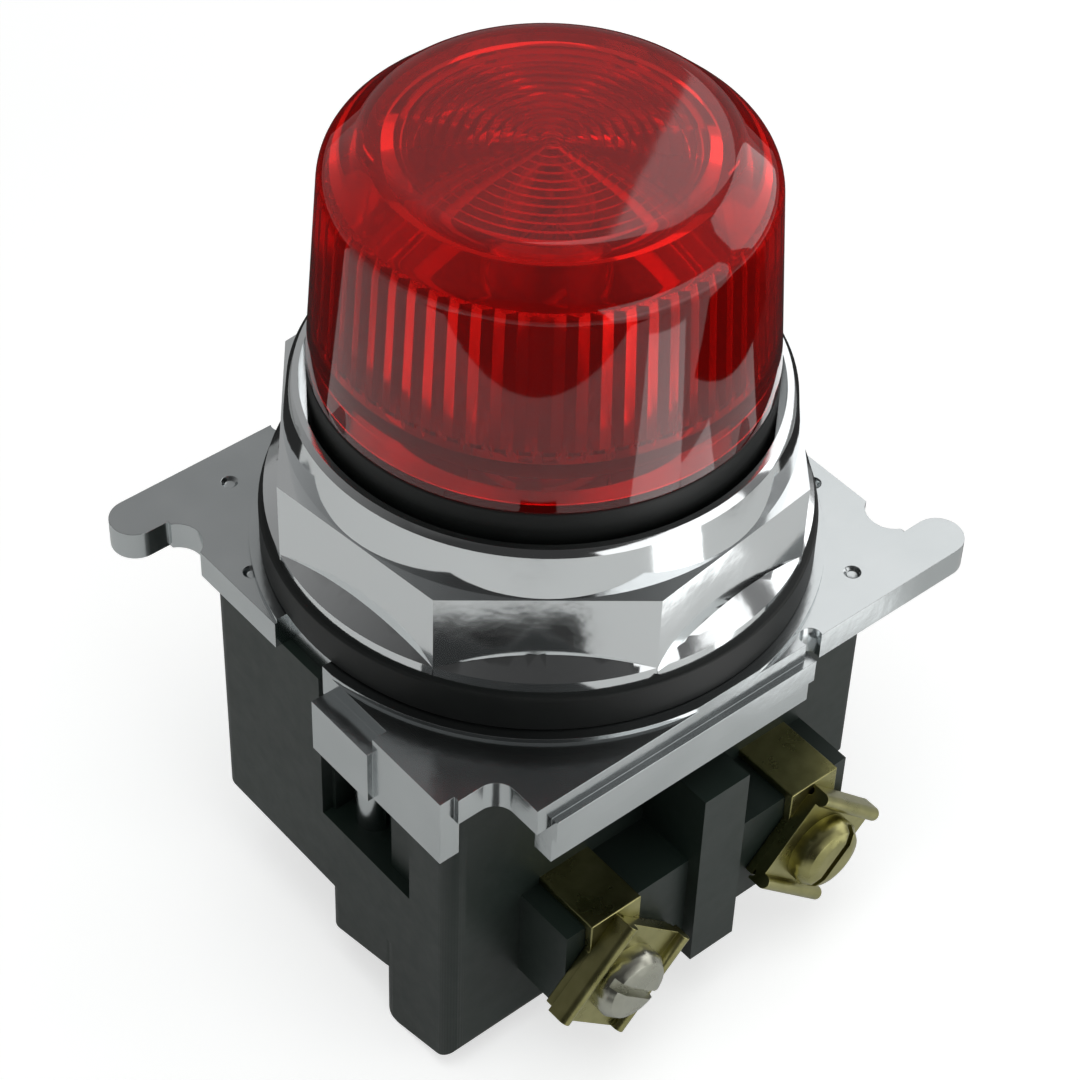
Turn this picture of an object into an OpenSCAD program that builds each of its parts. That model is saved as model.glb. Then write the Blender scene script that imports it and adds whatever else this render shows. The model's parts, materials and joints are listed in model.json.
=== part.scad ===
// Panel pilot light: an oil-tight indicating light for a 30.5 mm panel hole.
// A die-cast operator base carries the threaded bushing, the mounting nut clamps the panel,
// a fluted lens screws on in front, and a moulded transformer light unit hangs behind.
// +Z points out of the panel. The origin lies on the bushing's axis, on the gasket's front
// face, which is where the back of the panel seats. The terminals face -Y.

/* [Bushing and gasket] */
// Step from the neck out to the bushing's panel thread
thread_step = 1.2; // [1:0.1:1.4]
// Height of the bushing's shoulder in front of the panel's back face
bushing_h = 8; // [7.6:0.1:8.6]
// Length of the neck that the lens screws on
neck_h = 5.6; // [4.6:0.2:6]
// Wall of that neck
neck_wall = 1.8; // [1.6:0.1:2.4]
// How far the panel gasket reaches past the nut's foot
gasket_margin = 0.45; // [0.2:0.05:0.8]
// Thickness of the panel gasket
gasket_t = 3.4; // [2.6:0.2:4]

/* [Mounting nut] */
// How far the flats stand out from the round collar at the nut's rim
nut_flat_step = 0.6; // [0.4:0.1:0.9]
// How far the nut's round foot reaches past the flats
nut_foot_step = 1.6; // [1.2:0.1:2]
// Height of the foot's straight edge
nut_flange_t = 1.2; // [0.8:0.1:1.6]
// Height of the top of the flats
nut_flats_h = 8.2; // [7.8:0.1:9]
// Height of the nut's rim
nut_h = 12.4; // [11.6:0.2:13]
// Wall of the round collar at its rim
nut_rim_wall = 0.8; // [0.6:0.1:1.2]
// Gap between that collar and the lens
nut_gap = 0.6; // [0.4:0.1:0.9]
// Height of the socket's floor
nut_floor = 6.8; // [6:0.2:7.4]
// Angle at which the nut has come to rest
nut_turn = 6.5; // [0:0.5:44]

/* [Lens] */
// Diameter of the lens at its lower rim
lens_d = 35.4; // [35:0.1:35.8]
// How far the lens's lower lip reaches in to the neck
lens_lip = 3.9; // [3.4:0.1:4.4]
// How far the fluted wall leans in towards its upper edge
lens_draft = 1.2; // [0.6:0.1:1.6]
// Height of the lower rim above the seal's foot
lens_rim_h = 5.35; // [5:0.1:5.6]
// Height of the fluted wall above the lower rim
lens_wall_h = 17; // [15:0.5:20]
// Height of the bevel round the flat top
lens_bevel_h = 3.15; // [2.5:0.1:4]
// Width of that bevel
lens_bevel_w = 3.45; // [2.5:0.1:4.5]
// Thickness of the lens wall
lens_wall = 1.8; // [1.5:0.1:2]
// Number of flutes inside the wall
flute_n = 60; // [40:1:72]
// Depth of the flutes
flute_depth = 0.45; // [0.3:0.05:0.6]
// Height above the lower rim at which the flutes begin
flute_start = 4.9; // [4.4:0.1:6]
// Distance from the flutes' upper ends to the bevel
flute_end = 0.9; // [0.6:0.1:1.4]
// Number of rings under the flat top
ring_n = 13; // [8:1:13]
// Depth of the rings
ring_depth = 0.35; // [0.2:0.05:0.5]
// Thickness of the lens seal's foot
seal_t = 1.4; // [1:0.1:1.6]

/* [Operator base] */
// Thickness of the die-cast plate
plate_t = 3; // [2.6:0.1:3.4]
// How far the two fingers reach past the plate
finger_reach = 3.8; // [3:0.2:5]
// Width of a finger
finger_w = 4.1; // [3.6:0.1:4.4]
// How far the raised round seat reaches past the gasket
seat_margin = 0.85; // [0.4:0.05:1.2]
// Height of that seat
seat_h = 0.4; // [0.2:0.1:0.6]
// Depth of the skirts below the plate's top
skirt_h = 7; // [5:0.5:8]
// Thickness of a skirt
skirt_t = 1.8; // [1.4:0.1:2]
// Diameter of the two mounting posts
post_d = 3.2; // [3:0.1:3.4]
// Length of the two mounting posts below the plate
post_len = 15.6; // [14:0.2:17]

/* [Lamp and socket] */
// Diameter of the bulb
bulb_d = 10.3; // [9.8:0.1:11]
// Length of the bulb in front of its cap
bulb_h = 17; // [15:0.5:19]
// Diameter of the lamp's bayonet cap
cap_d = 9.2; // [9:0.1:9.3]
// Length of the cap
cap_h = 10; // [9:0.5:11]
// Diameter of a bayonet pin
pin_d = 1.8; // [1.6:0.1:2]
// Height of the pins above the cap's lower end
pin_h = 6; // [5.5:0.1:6.5]
// Wall of the socket shell
shell_wall = 0.6; // [0.5:0.05:0.8]
// Height of the socket's boss above its plate
boss_h = 5.4; // [4.8:0.2:6]
// Height of the glass stem above the lamp's cap
stem_h = 4; // [3:0.5:5]
// Distance from the stem's end to the filament
filament_h = 4.6; // [4:0.2:5]
// Width of the filament
filament_w = 4; // [3:0.2:5]
// Radius of the contact spring's coils
spring_r = 2.25; // [2:0.05:2.4]
// How far the lamp can be pressed in
lamp_push = 1.2; // [0.8:0.1:1.4]
// Angle that the lamp turns through before it comes out
lamp_turn = 40; // [30:5:50]

/* [Light unit] */
// How far the housing's sides stand back from the plate's edges
house_inset = 0.6; // [0.4:0.1:1]
// How far the housing's middle lies off the bushing's axis, towards the terminals
house_offset = 1.5; // [1:0.1:2]
// Depth of the housing below the plate
house_depth = 23.6; // [23.4:0.2:26]
// Wall of the housing
house_wall = 2; // [1.6:0.1:2.2]
// Extra depth of the corner foot at the terminals' side
foot_drop = 7.8; // [5:0.2:9]
// Width of the corner foot
foot_w = 11; // [9:0.5:12]
// Extra depth of the step beside the corner foot
step_drop = 3; // [2:0.5:4]
// How far the undersides of foot and step fall towards the back
foot_fall = 2.4; // [0:0.2:3]
// Thickness of the plate that carries the socket
socket_plate_t = 2.5; // [2:0.1:3]
// Space between the transformer core and the socket's plate
core_gap = 3.1; // [2.6:0.1:4]
// Space between each end of the core and the mounting post beside it
core_to_post = 4.3; // [4:0.1:5]
// Space between the windings and the housing's walls
coil_gap = 1.5; // [1:0.1:2]
// Thickness of the lamination stack
core_stack = 11; // [10:0.5:12]
// Width of the core's outer legs and its yokes
core_leg = 4; // [3.6:0.1:4.2]

/* [Terminals] */
// Distance of each terminal's screw from the housing's side
terminal_inset = 11.3; // [10.8:0.1:11.8]
// Reach of the terminal ledge past the housing's face
ledge_reach = 5.5; // [4:0.2:6.5]
// Distance from the ledge's top down to the terminal screws
terminal_drop = 6.1; // [5:0.1:7]
// Thickness of the brass strips
strip_t = 0.8; // [0.6:0.1:1]
// Side of the square saddle clamps
clamp_side = 9.4; // [8.6:0.2:9.8]
// Thickness of the saddle clamps
clamp_t = 1.1; // [0.9:0.1:1.3]
// Diameter of the terminal screws
screw_d = 3.4; // [3:0.1:3.6]
// Height of the ridges along two of a saddle clamp's edges
saddle_h = 0.8; // [0.6:0.1:1]
// Diameter of the terminal screws' heads
screw_head_d = 6.4; // [6:0.2:7]
// How far a terminal screw backs out
screw_travel = 3; // [2:0.5:4]

/* [Fits] */
// Radial play of threads and running fits
play = 0.05; // [0.03:0.01:0.08]
// Clearance between pieces that pass each other
clear = 0.3; // [0.2:0.05:0.4]

/* [Hidden] */
$fn = 96;
eps = 0.01;

// Diameters from the lens outwards
neck_d = lens_d - 2 * lens_lip;
bushing_d = neck_d + 2 * thread_step;
bushing_bore = neck_d - 2 * neck_wall;
nut_socket_d = lens_d + 2 * nut_gap;
nut_rim_d = nut_socket_d + 2 * nut_rim_wall;
nut_af = nut_rim_d + 2 * nut_flat_step;
nut_flange_d = nut_af + 2 * nut_foot_step;
gasket_d = nut_flange_d + 2 * gasket_margin;
seat_d = gasket_d + 2 * seat_margin;
lens_edge_d = lens_d - 2 * lens_draft;
lens_flat_d = lens_edge_d - 2 * lens_bevel_w;
ring_pitch = (lens_flat_d / 2 - lens_wall / 2 - 0.2) / ring_n;

// Half widths of the plate, a little inside its round seat, and of the housing
plate_x = seat_d / 2 - 0.2;
plate_y = plate_x;
house_x = plate_x - house_inset;

// Levels from the back of the housing to the top of the lens
plate_top = -gasket_t;
plate_floor = plate_top - seat_h;
plate_bot = plate_top - plate_t;
skirt_bot = plate_top - skirt_h;
post_end = plate_bot - post_len;
house_top = plate_bot;
house_bot = house_top - house_depth;
neck_top = bushing_h + neck_h;
seal_top = bushing_h + seal_t;
lens_rim = seal_top + lens_rim_h;
lens_edge = lens_rim + lens_wall_h;
lens_top = lens_edge + lens_bevel_h;
flute_bot = lens_rim + flute_start;
flute_top = lens_edge - flute_end;
flute_len = flute_top - flute_bot;

// Lamp and socket, up from the plate that carries them
plate_under = house_top - socket_plate_t;
boss_top = house_top + boss_h;
cap_bot = boss_top;
cap_top = cap_bot + cap_h;
pin_z = cap_bot + pin_h;
tip_z = cap_bot - 1;
glass_wall = 0.6;
bulb_neck_r = cap_d / 2 - 0.4;
shell_in = cap_d / 2 + 0.15;
shell_out = shell_in + shell_wall;
shell_bot = house_top + 0.4;
shell_top = cap_top - lamp_push - clear;
spring_floor = plate_under + 1;
plunger_r = 2.6;
plunger_t = 1.2;
stem_r = 1.5;
wire_r = 0.25;

// Light unit
post_x = plate_x - 3.6;
post_y = 3.3;
core_w = 2 * (post_x - core_to_post);
core_h = house_depth - house_wall - socket_plate_t - core_gap;
core_mid = -house_offset;
window_h = core_h - 2 * core_leg;
centre_leg = 2 * core_leg;
window_w = (core_w - 2 * core_leg - centre_leg) / 2;
bobbin_wall = 0.8;
winding = window_w - bobbin_wall - 0.5;
flange = bobbin_wall + winding + 0.3;
coil_h = (window_h - 3 * bobbin_wall) / 2;
cavity_half = core_stack / 2 + flange + coil_gap;
cavity_x = core_w / 2 + 1;
cavity_front = cavity_half + house_offset;
cavity_back = cavity_half - house_offset;
cavity_floor = house_bot + house_wall;
rebate = 0.8;
face_wall = house_wall - 0.2;
house_front = cavity_front + face_wall;
house_back = cavity_back + face_wall;
seat_under_post = 4;
screw_seat = post_end - seat_under_post;
foot_y = -7.7;
step_y = -0.6;
mount_hole = 1;
mount_head_r = 2;
mount_shank = 11;

// Terminals
terminal_x = house_x - terminal_inset;
ledge_half = terminal_x + 4.3;
ledge_top = post_end;
ledge_y = -house_front - ledge_reach;
pad_y = ledge_y - strip_t;
clamp_y = pad_y - clamp_t;
terminal_z = ledge_top - terminal_drop;

// Outer radius of the fluted wall at height z
function lens_r(z) = lens_d / 2 - (lens_d - lens_edge_d) / 2 * (z - lens_rim) / lens_wall_h;

// A child and its copy turned half round the axis
module twice() {
    for (turn = [0, 180])
        rotate(turn)
            children();
}

// Rectangle with round corners, between two corners of the plan
module round_rect(from, to, r) {
    size = to - from;
    translate([from.x + r, from.y])
        square([size.x - 2 * r, size.y]);
    translate([from.x, from.y + r])
        square([size.x, size.y - 2 * r]);
    for (x = [from.x + r, to.x - r], y = [from.y + r, to.y - r])
        translate([x, y])
            circle(r);
}

// Upright block with round corners, between two corners in space
module round_block(from, to, r) {
    translate([0, 0, from.z])
        linear_extrude(to.z - from.z)
            round_rect([from.x, from.y], [to.x, to.y], r);
}

// Plain block between two corners
module block(from, to) {
    translate(from)
        cube(to - from);
}

module tube(r_out, r_in, z0, z1) {
    translate([0, 0, z0])
        difference() {
            cylinder(r = r_out, h = z1 - z0);
            translate([0, 0, -eps])
                cylinder(r = r_in, h = z1 - z0 + 2 * eps);
        }
}

// ---------- lens ----------

// Sawtooth rings under the flat top, from the axis outwards
function ring_points() = [
    for (i = [0:ring_n - 1])
        for (end = [0, 1])
            [(i + end) * ring_pitch, lens_top - lens_wall - end * ring_depth]
];

function lens_section() = concat(
    ring_points(),
    [
        [lens_flat_d / 2 - lens_wall / 2 + 0.6, lens_top - lens_wall],
        [lens_r(flute_top) - lens_wall, flute_top],
        [lens_r(flute_bot) - lens_wall, flute_bot - 1.2],
        [neck_d / 2 + play, lens_rim + 1.6],
        [neck_d / 2 + play, seal_top],
        [neck_d / 2 + 1.6, seal_top],
        [neck_d / 2 + 1.6, lens_rim],
        [lens_d / 2, lens_rim],
        [lens_edge_d / 2, lens_edge],
        [lens_flat_d / 2, lens_top],
        [0, lens_top]
    ]
);

module lens_flutes() {
    lean = atan((lens_d - lens_edge_d) / 2 / lens_wall_h);
    half = (lens_r(flute_bot) - lens_wall) * sin(180 / flute_n) * 0.9;
    for (i = [0:flute_n - 1])
        rotate(i * 360 / flute_n)
            translate([lens_r(flute_bot) - lens_wall, 0, flute_bot])
                rotate([0, -lean, 0])
                    linear_extrude(flute_len)
                        polygon([[-0.2, -half], [flute_depth, 0], [-0.2, half]]);
}

module lens() {
    color([0.8, 0.1, 0.12])
        difference() {
            rotate_extrude()
                polygon(lens_section());
            lens_flutes();
        }
}

// L-shaped rubber ring: its foot sits on the bushing's shoulder, its wall backs the lens rim
module lens_seal() {
    in_r = neck_d / 2 + 2 * play;
    color([0.08, 0.08, 0.08])
        rotate_extrude()
            polygon([
                [in_r, bushing_h],
                [lens_d / 2, bushing_h],
                [lens_d / 2, lens_rim],
                [neck_d / 2 + 1.6 + 2 * play, lens_rim],
                [neck_d / 2 + 1.6 + 2 * play, seal_top],
                [in_r, seal_top]
            ]);
}

// ---------- panel fixing ----------

module nut_body() {
    foot_top = nut_flange_t + 1.4;
    rotate_extrude()
        polygon([
            [0, 0],
            [nut_flange_d / 2, 0],
            [nut_flange_d / 2, nut_flange_t],
            [nut_af / 2, foot_top],
            [nut_af / 2 - 0.1, nut_flats_h],
            [nut_rim_d / 2 + 0.1, nut_h - 0.5],
            [nut_rim_d / 2 - 0.3, nut_h],
            [0, nut_h]
        ]);
    rotate(nut_turn + 22.5)
        translate([0, 0, nut_flange_t / 2])
            cylinder(d = nut_af / cos(22.5), h = nut_flats_h - nut_flange_t / 2, $fn = 8);
}

module mounting_nut() {
    color([0.82, 0.84, 0.86])
        difference() {
            nut_body();
            translate([0, 0, -eps])
                cylinder(r = bushing_d / 2 + play, h = nut_h);
            translate([0, 0, nut_floor])
                cylinder(d = nut_socket_d, h = nut_h);
        }
}

module panel_gasket() {
    color([0.1, 0.1, 0.1])
        tube(gasket_d / 2, bushing_d / 2 + play, plate_top, 0);
}

// ---------- operator base ----------

// One end of the plate's plan; the other end is the same, turned half round
module finger_plan() {
    tip_r = finger_w / 2;
    translate([-plate_x - finger_reach + tip_r, plate_y - tip_r])
        circle(tip_r);
    translate([-plate_x - finger_reach + tip_r, plate_y - finger_w])
        square([finger_reach + 2, finger_w]);
}

module finger_scallop() {
    r = 2.2;
    top = plate_y - finger_w - 0.15;
    translate([-plate_x - 1, top - r])
        circle(r);
    translate([-plate_x - finger_reach - 2, top - 2 * r])
        square([finger_reach + 1, 2 * r]);
}

// Square notch in the corner with a round inner corner
module corner_notch() {
    in_x = -plate_x + 3.8;
    in_y = -plate_y + 4.3;
    r = 1.6;
    far = 8;
    translate([in_x - r, in_y - r])
        circle(r);
    translate([in_x - far, in_y - far])
        square([far - r, far]);
    translate([in_x - far, in_y - far])
        square([far, far - r]);
}

module plate_plan() {
    difference() {
        union() {
            square([2 * plate_x, 2 * plate_y], center = true);
            twice() {
                finger_plan();
                translate([-plate_x - 1.3, -plate_y + 4.8])
                    square([2, 8]);
            }
        }
        twice() {
            finger_scallop();
            corner_notch();
            translate([-plate_x - 3, -1.8])
                square([4.4, 6]);
            translate([8.7, -plate_y + 0.4])
                circle(0.9);
        }
    }
}

// Shallow round dimples in the plate's front face
module dimples() {
    for (spot = [[-16, 19], [-20.5, 9.8]])
        translate([spot.x, spot.y, plate_floor - 0.3])
            cylinder(r1 = 0.4, r2 = 0.9, h = 0.5);
}

// Skirts that hang from two neighbouring edges, beside the notched corner
module skirts() {
    side_y = -plate_y + 4.8;
    side_top = plate_floor - 1.4;
    block([-plate_x - 1.3, side_y, skirt_bot], [-plate_x - 1.3 + skirt_t, side_y + 8, plate_floor - eps]);
    block([-plate_x - 1.8, side_y + 8, skirt_bot], [-plate_x + 0.2, -2.8, side_top]);
    block([-plate_x + 5.2, -plate_y - 0.1, skirt_bot], [8.6, -plate_y + skirt_t, plate_floor - 1.8]);
    block([-plate_x + 5.2, -plate_y - 0.6, plate_bot - 1.4], [8.6, -plate_y + skirt_t, plate_floor - 1.8]);
}

module operator_base() {
    color([0.62, 0.65, 0.66])
        difference() {
            union() {
                translate([0, 0, plate_bot])
                    linear_extrude(plate_floor - plate_bot)
                        plate_plan();
                translate([0, 0, plate_bot])
                    linear_extrude(plate_t)
                        intersection() {
                            plate_plan();
                            circle(d = seat_d);
                        }
                twice()
                    skirts();
                twice()
                    translate([-post_x, -post_y, post_end])
                        cylinder(d = post_d, h = post_len + 1);
                translate([0, 0, plate_bot])
                    cylinder(d = bushing_d, h = bushing_h - plate_bot);
                cylinder(d = neck_d, h = neck_top);
            }
            translate([0, 0, plate_bot - eps])
                cylinder(d = bushing_bore, h = neck_top - plate_bot + 1);
            twice() {
                dimples();
                translate([-post_x, -post_y, post_end - eps])
                    cylinder(r = mount_hole, h = post_len - 4);
            }
        }
}

// ---------- lamp ----------

module lamp_glass() {
    r = bulb_d / 2;
    dome = cap_top + bulb_h - r;
    color([0.9, 0.93, 0.95])
        difference() {
            union() {
                translate([0, 0, dome])
                    sphere(r);
                translate([0, 0, cap_top])
                    cylinder(r = r, h = dome - cap_top);
                translate([0, 0, cap_top - 2])
                    cylinder(r = bulb_neck_r, h = 3);
            }
            translate([0, 0, dome])
                sphere(r - glass_wall);
            translate([0, 0, cap_top + glass_wall])
                cylinder(r = r - glass_wall, h = dome - cap_top - glass_wall);
            translate([0, 0, cap_top - 3])
                cylinder(r = bulb_neck_r - glass_wall, h = 5);
        }
}

module lamp_filament() {
    stem_top = cap_top + stem_h;
    wire_top = stem_top + filament_h;
    color([0.55, 0.56, 0.6]) {
        translate([0, 0, cap_top - 2])
            cylinder(r = bulb_neck_r - glass_wall, h = 0.6);
        translate([0, 0, cap_top - 2])
            cylinder(r = 1.4, h = stem_top - cap_top + 2);
        for (side = [-1, 1])
            translate([side * 1, 0, stem_top - 1]) {
                cylinder(r = 0.2, h = wire_top - stem_top + 1);
                translate([0, 0, wire_top - stem_top + 1])
                    rotate([0, side * 90, 0])
                        cylinder(r = 0.2, h = 1);
            }
        translate([-filament_w / 2, 0, wire_top])
            rotate([0, 90, 0])
                cylinder(r = 0.35, h = filament_w);
    }
}

module lamp_cap() {
    wall = 0.35;
    color([0.75, 0.62, 0.33])
        difference() {
            union() {
                translate([0, 0, cap_bot])
                    cylinder(d = cap_d, h = cap_h);
                for (side = [0, 180])
                    rotate([0, 90, side])
                        translate([-pin_z, 0, 0])
                            cylinder(d = pin_d, h = shell_out + 0.3);
            }
            translate([0, 0, cap_bot - eps])
                cylinder(r = cap_d / 2 - wall, h = cap_h + 1);
        }
}

module lamp_insulator() {
    color([0.07, 0.07, 0.09])
        tube(cap_d / 2 - 0.35, 0.8, cap_bot, cap_bot + 1.2);
}

module lamp_tip() {
    color([0.72, 0.73, 0.75]) {
        translate([0, 0, tip_z])
            cylinder(r = 1.6, h = cap_bot - tip_z);
        translate([0, 0, cap_bot - eps])
            cylinder(r = 0.8, h = 1);
    }
}

// ---------- socket ----------

// Slot for a bayonet pin: a level leg that the pin turns along, then a way out to the front
module bayonet_slot() {
    half = pin_d / 2 + play;
    step = asin(half / shell_in);
    for (side = [0, 180])
        rotate(side) {
            rotate(-step)
                rotate_extrude(angle = lamp_turn + step)
                    translate([shell_in - 1, pin_z - lamp_push - half])
                        square([shell_wall + 2, lamp_push + 2 * half]);
            rotate(lamp_turn)
                translate([shell_in - 1, -half, pin_z - lamp_push - half])
                    cube([shell_wall + 2, 2 * half, shell_top]);
        }
}

module socket_shell() {
    color([0.78, 0.65, 0.35])
        difference() {
            tube(shell_out, shell_in, shell_bot, shell_top);
            bayonet_slot();
        }
}

module socket_plate() {
    boss_r = 8;
    color([0.16, 0.14, 0.12])
        difference() {
            union() {
                block(
                    [-cavity_x - rebate + 0.1, -cavity_front - rebate + 0.1, plate_under],
                    [cavity_x + rebate - 0.1, cavity_back + rebate - 0.1, house_top]
                );
                translate([0, 0, plate_under])
                    cylinder(r = boss_r, h = boss_top - plate_under);
            }
            translate([0, 0, shell_bot])
                cylinder(r = shell_out, h = 20);
            translate([0, 0, spring_floor])
                cylinder(r = shell_in - 0.3, h = 20);
            translate([0, 0, plate_under - eps])
                cylinder(r = stem_r + play, h = 20);
        }
}

module contact_plunger() {
    color([0.8, 0.68, 0.38]) {
        translate([0, 0, tip_z - plunger_t])
            cylinder(r = plunger_r, h = plunger_t);
        translate([0, 0, plate_under - 1])
            cylinder(r = stem_r, h = tip_z - plunger_t - plate_under + 1 + eps);
    }
}

// Round wire wound in a helix between the socket plate and the plunger's head
module contact_spring() {
    turns = 5;
    steps = 16;
    sides = 6;
    low = spring_floor + wire_r;
    rise = tip_z - plunger_t - wire_r - low;
    rings = turns * steps;
    points = [
        for (i = [0:rings], k = [0:sides - 1])
            let (a = i * 360 / steps, b = k * 360 / sides, r = spring_r + wire_r * cos(b))
                [r * cos(a), r * sin(a), low + rise * i / rings + wire_r * sin(b)]
    ];
    sides_faces = [
        for (i = [0:rings - 1], k = [0:sides - 1])
            let (a = i * sides + k, b = i * sides + (k + 1) % sides)
                [a, a + sides, b + sides, b]
    ];
    ends = [
        [for (k = [0:sides - 1]) k],
        [for (k = [sides - 1:-1:0]) rings * sides + k]
    ];
    color([0.7, 0.72, 0.74])
        polyhedron(points, concat(sides_faces, ends));
}

// ---------- light unit ----------

// The way that a mounting post and its screw take through one side of the housing
module post_way() {
    head_bot = house_bot - foot_drop - foot_fall;
    front = -post_y - 4.7;
    back = -post_y + 2.5;
    block([-house_x - 1, front, post_end], [-post_x, back, house_top + 1]);
    block([-house_x - 1, front - 3.5, post_end], [-house_x + 1, back + 0.4, house_top + 1]);
    translate([-post_x, -post_y, post_end])
        cylinder(d = post_d + 2 * clear, h = 30);
    translate([-post_x, -post_y, screw_seat - 1])
        cylinder(r = mount_hole + 0.15, h = 10);
    translate([-post_x, -post_y, head_bot])
        cylinder(r = mount_head_r + clear, h = screw_seat - head_bot);
}

// Round-edged foot whose underside falls by foot_fall towards the back
module sloping_foot(from_y, to_y, drop, r) {
    low = house_bot - drop;
    intersection() {
        round_block([-house_x, from_y, low - foot_fall - 1], [-house_x + foot_w, to_y, house_top], 1.6);
        translate([-house_x - 1, 0, 0])
            rotate([90, 0, 90])
                linear_extrude(foot_w + 2)
                    offset(r = r)
                        offset(delta = -r)
                            polygon([
                                [from_y, low],
                                [to_y, low - foot_fall],
                                [to_y, house_top],
                                [from_y, house_top]
                            ]);
    }
}

module housing_blocks() {
    round_block([-house_x, -house_front, house_bot], [house_x, house_back, house_top], 1.6);
    sloping_foot(-house_front, foot_y, foot_drop, 2);
    sloping_foot(foot_y - 2.3, step_y, step_drop, 0.6);
    block([-ledge_half, ledge_y, terminal_z - screw_head_d / 2], [ledge_half, -house_front + 1, ledge_top]);
    block([-2.3, ledge_y - 1.2, house_bot - 3.5], [2.3, -house_front + 1, ledge_top + 8]);
}

module light_unit_housing() {
    color([0.11, 0.13, 0.12])
        difference() {
            housing_blocks();
            block([-cavity_x, -cavity_front, cavity_floor], [cavity_x, cavity_back, house_top + 1]);
            block(
                [-cavity_x - rebate, -cavity_front - rebate, plate_under],
                [cavity_x + rebate, cavity_back + rebate, house_top + 1]
            );
            twice()
                post_way();
            block([house_x - 1.2, -house_front - 1, house_bot - 1], [house_x + 1, -house_front + 7, house_top + 1]);
            for (side = [-1, 1])
                translate([side * terminal_x, 0, 0]) {
                    block([-2.5, -house_front - 1, ledge_top], [2.5, -cavity_front + 1, ledge_top + strip_t]);
                    translate([0, ledge_y - 1, terminal_z])
                        rotate([-90, 0, 0])
                            cylinder(d = screw_d + 2 * clear, h = ledge_reach + 0.5);
                }
        }
}

// E and I laminations stacked along Y
module transformer_core() {
    color([0.42, 0.44, 0.46])
        translate([0, core_mid, cavity_floor])
            difference() {
                translate([-core_w / 2, -core_stack / 2, 0])
                    cube([core_w, core_stack, core_h]);
                for (side = [-1, 1])
                    translate([side * (centre_leg + window_w) / 2, 0, core_h / 2])
                        cube([window_w, core_stack + 1, window_h], center = true);
            }
}

// Frame round the core's centre leg: outer size grows by d past the leg
module leg_frame(d_out, d_in, z0, h) {
    translate([0, core_mid, cavity_floor + core_leg + z0])
        difference() {
            translate([-centre_leg / 2 - d_out, -core_stack / 2 - d_out, 0])
                cube([centre_leg + 2 * d_out, core_stack + 2 * d_out, h]);
            translate([-centre_leg / 2 - d_in, -core_stack / 2 - d_in, -1])
                cube([centre_leg + 2 * d_in, core_stack + 2 * d_in, h + 2]);
        }
}

module bobbin() {
    color([0.85, 0.83, 0.75]) {
        leg_frame(bobbin_wall, 0, 0, window_h);
        for (i = [0:2])
            leg_frame(flange, 0, i * (coil_h + bobbin_wall), bobbin_wall);
    }
}

module primary_coil() {
    color([0.66, 0.33, 0.12])
        leg_frame(bobbin_wall + winding, bobbin_wall, bobbin_wall, coil_h);
}

module secondary_coil() {
    color([0.75, 0.42, 0.16])
        leg_frame(bobbin_wall + winding, bobbin_wall, 2 * bobbin_wall + coil_h, coil_h);
}

// ---------- terminals ----------

// Places what is drawn at a terminal's screw axis, with +Z along the axis to the outside
module at_terminal(side) {
    translate([side * terminal_x, 0, terminal_z])
        rotate([90, 0, 0])
            children();
}

module terminal_strip(side) {
    half = 2.5;
    color([0.72, 0.62, 0.34])
        difference() {
            union() {
                translate([side * terminal_x, 0, 0]) {
                    block([-half, pad_y, ledge_top], [half, -cavity_front + 0.9, ledge_top + strip_t]);
                    block([-half, pad_y, terminal_z], [half, ledge_y, ledge_top + eps]);
                }
                at_terminal(side)
                    translate([0, 0, -ledge_y])
                        rotate(45)
                            linear_extrude(strip_t)
                                square(clamp_side - 0.6, center = true);
            }
            at_terminal(side)
                cylinder(r = screw_d / 2 + play, h = 40);
        }
}

// Square washer with a grooved ridge along two edges, clear of the screw's head
module saddle_clamp(side) {
    half = clamp_side / 2;
    saddle_w = half - screw_head_d / 2 - clear;
    crest = clamp_t + saddle_h - saddle_w / 2;
    color([0.74, 0.66, 0.4])
        at_terminal(side)
            rotate(side * 45)
                translate([0, 0, -pad_y])
                    difference() {
                        union() {
                            translate([-half, -half, 0])
                                cube([clamp_side, clamp_side, clamp_t]);
                            for (s = [-1, 1])
                                translate([s * (half - saddle_w / 2), 0, 0]) {
                                    translate([0, half, crest])
                                        rotate([90, 0, 0])
                                            cylinder(d = saddle_w, h = clamp_side);
                                    translate([-saddle_w / 2, -half, 0])
                                        cube([saddle_w, clamp_side, crest]);
                                }
                        }
                        for (s = [-1, 1])
                            translate([s * (half - saddle_w / 2), half + 1, 0])
                                rotate([90, 0, 0])
                                    cylinder(r = 0.35, h = clamp_side + 2);
                        translate([0, 0, -1])
                            cylinder(d = screw_d + 2 * clear, h = 10);
                    }
}

// Pan-head screw with a slot
module terminal_screw(side) {
    head_h = 2.2;
    color([0.78, 0.76, 0.66])
        at_terminal(side)
            translate([0, 0, -clamp_y])
                difference() {
                    union() {
                        rotate_extrude()
                            polygon([
                                [0, 0],
                                [screw_head_d / 2, 0],
                                [screw_head_d / 2, head_h * 0.5],
                                [screw_head_d / 2 - 0.5, head_h * 0.85],
                                [screw_head_d / 2 - 1.4, head_h],
                                [0, head_h]
                            ]);
                        translate([0, 0, -clamp_t - strip_t - 3.5])
                            cylinder(d = screw_d, h = clamp_t + strip_t + 3.6);
                    }
                    rotate(side * 45)
                        translate([-screw_head_d, -0.4, head_h - 1])
                            cube([2 * screw_head_d, 0.8, 2]);
                }
}

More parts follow.
